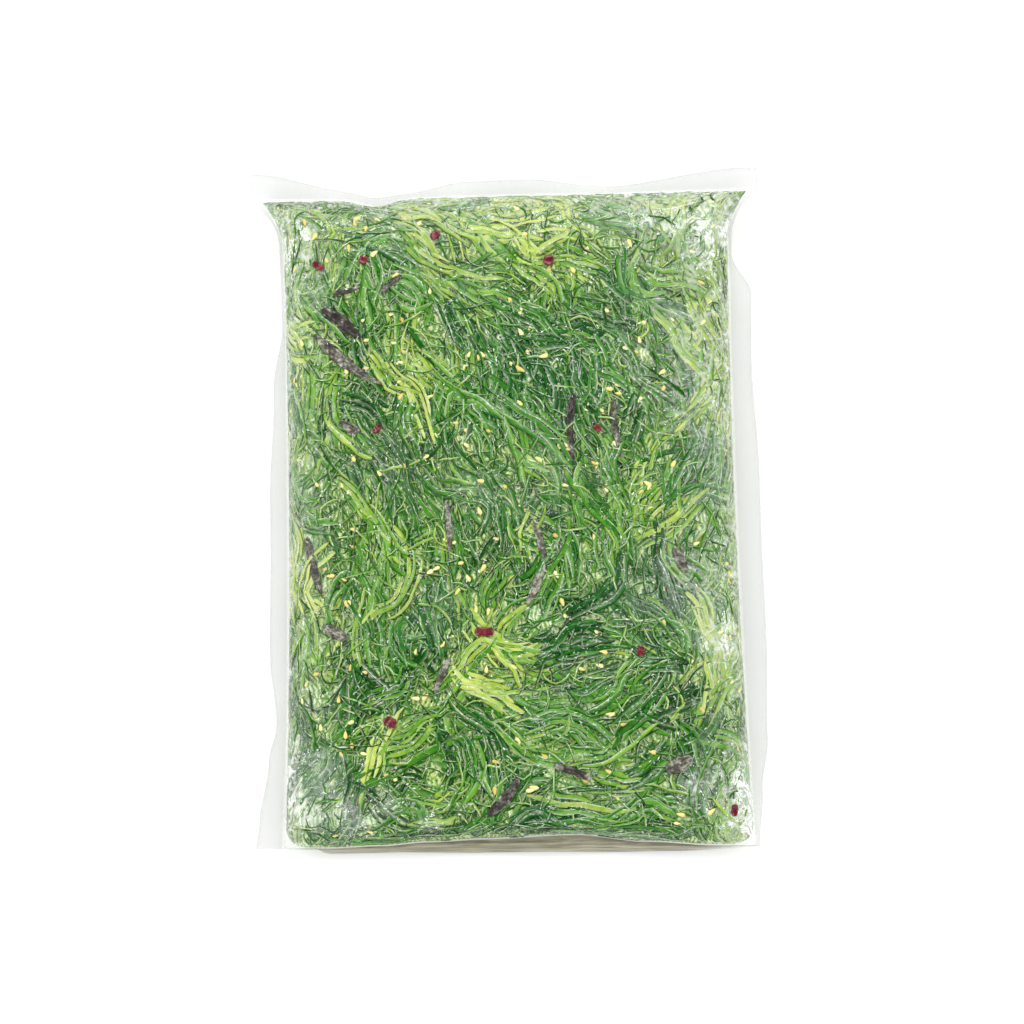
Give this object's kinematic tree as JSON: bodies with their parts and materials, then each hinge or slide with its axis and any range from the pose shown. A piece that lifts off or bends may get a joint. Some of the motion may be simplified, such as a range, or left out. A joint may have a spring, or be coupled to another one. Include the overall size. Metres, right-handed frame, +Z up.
{
  "type": "seasoned wakame in a clear pouch",
  "caption": "Flat clear heat-sealed pouch of frozen seasoned wakame strips with sesame seed, wood-ear strips and bits of red chilli, lying on its back.",
  "frame": {"origin": "on the floor under the middle of the pouch's overall box", "axes": "+Y along the pouch to the wide head seal, +X across it, +Z up out of the front web"},
  "size_m": [0.2089, 0.2834, 0.0237],
  "materials": {
    "clear_film": "clear, glossy, faintly milky",
    "wakame_green": "wet, mottled from deep to yellow green, with cream sesame seed",
    "wakame_ribbon": "wet deep green",
    "wood_ear": "satin brown-black",
    "red_chilli": "wet red"
  },
  "bodies": {
    "root": {"film_front": "clear_film", "film_back": "clear_film", "wakame_cake": "wakame_green", "wakame_ribbon_01": "wakame_ribbon", "wakame_ribbon_02": "wakame_ribbon", "wakame_ribbon_03": "wakame_ribbon", "wakame_ribbon_04": "wakame_ribbon", "wakame_ribbon_05": "wakame_ribbon", "wakame_ribbon_06": "wakame_ribbon", "wakame_ribbon_07": "wakame_ribbon", "wakame_ribbon_08": "wakame_ribbon", "wakame_ribbon_09": "wakame_ribbon", "wakame_ribbon_10": "wakame_ribbon", "wakame_ribbon_11": "wakame_ribbon", "wakame_ribbon_12": "wakame_ribbon", "wood_ear_strip_01": "wood_ear", "wood_ear_strip_02": "wood_ear", "wood_ear_strip_03": "wood_ear", "wood_ear_strip_04": "wood_ear", "wood_ear_strip_05": "wood_ear", "wood_ear_strip_06": "wood_ear", "wood_ear_strip_07": "wood_ear", "wood_ear_strip_08": "wood_ear", "wood_ear_strip_09": "wood_ear", "wood_ear_strip_10": "wood_ear", "wood_ear_strip_11": "wood_ear", "wood_ear_strip_12": "wood_ear", "wood_ear_strip_13": "wood_ear", "wood_ear_strip_14": "wood_ear", "wood_ear_strip_15": "wood_ear", "wood_ear_strip_16": "wood_ear", "wood_ear_strip_17": "wood_ear", "wood_ear_strip_18": "wood_ear", "wood_ear_strip_19": "wood_ear", "wood_ear_strip_20": "wood_ear", "wood_ear_strip_21": "wood_ear", "chilli_bit_01": "red_chilli", "chilli_bit_02": "red_chilli", "chilli_bit_03": "red_chilli", "chilli_bit_04": "red_chilli", "chilli_bit_05": "red_chilli", "chilli_bit_06": "red_chilli", "chilli_bit_07": "red_chilli", "chilli_bit_08": "red_chilli", "chilli_bit_09": "red_chilli", "chilli_bit_10": "red_chilli", "chilli_bit_11": "red_chilli", "chilli_bit_12": "red_chilli", "chilli_bit_13": "red_chilli"}
  },
  "joints": []
}
